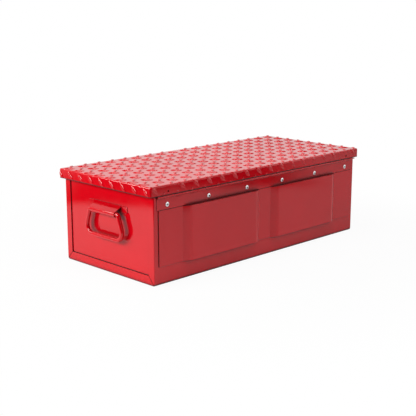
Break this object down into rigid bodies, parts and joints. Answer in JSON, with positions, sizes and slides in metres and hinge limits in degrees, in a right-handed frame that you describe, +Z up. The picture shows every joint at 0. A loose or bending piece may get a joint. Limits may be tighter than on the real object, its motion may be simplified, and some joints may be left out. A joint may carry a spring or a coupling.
{
  "type": "tool box",
  "caption": "Low steel tool box with a tread-plate lid on a full-length hinge, pressed panels in its long walls, a drop handle at each end and a padlock hasp.",
  "frame": {"origin": "middle of the floor's underside", "axes": "+X along the box towards its right end seen from the front, +Y towards the hinge side, +Z up"},
  "size_m": [0.7716, 0.3588, 0.2327],
  "materials": {
    "body_paint": "gloss",
    "lid_paint": "gloss",
    "hinge_paint": "gloss",
    "handle_paint": "gloss",
    "rivet_aluminium": "satin",
    "hasp_zinc": "zinc plated"
  },
  "bodies": {
    "case": {"body_shell": "body_paint", "right_end_panel": "body_paint", "left_end_panel": "body_paint", "hinge_body_leaf": "hinge_paint", "hinge_pin": "hinge_paint", "hinge_rivets": "rivet_aluminium", "right_handle_bracket": "handle_paint", "left_handle_bracket": "handle_paint", "hasp_bracket": "hasp_zinc", "hasp_pin": "hasp_zinc", "hasp_rivets": "rivet_aluminium"},
    "lid": {"lid": "lid_paint", "hinge_lid_leaf": "hinge_paint", "staple_plate": "hasp_zinc", "staple_loop": "hasp_zinc", "staple_rivets": "rivet_aluminium"},
    "right_handle": {"right_handle": "handle_paint"},
    "left_handle": {"left_handle": "handle_paint"},
    "hasp": {"hasp_strap": "hasp_zinc"}
  },
  "joints": [
    {"name": "lid_hinge", "type": "hinge", "parent": "case", "child": "lid", "pos_m": [0, 0.1654, 0.204], "axis": [-1, 0, 0], "range_deg": [0, 165]},
    {"name": "right_handle_swing", "type": "hinge", "parent": "case", "child": "right_handle", "pos_m": [0.37875, 0, 0.15], "axis": [0, -1, 0], "range_deg": [-6, 165]},
    {"name": "left_handle_swing", "type": "hinge", "parent": "case", "child": "left_handle", "pos_m": [-0.37875, 0, 0.15], "axis": [0, 1, 0], "range_deg": [-6, 165]},
    {"name": "hasp_swing", "type": "hinge", "parent": "case", "child": "hasp", "pos_m": [0, -0.17115, 0.19], "axis": [-1, 0, 0], "range_deg": [0, 180]}
  ]
}
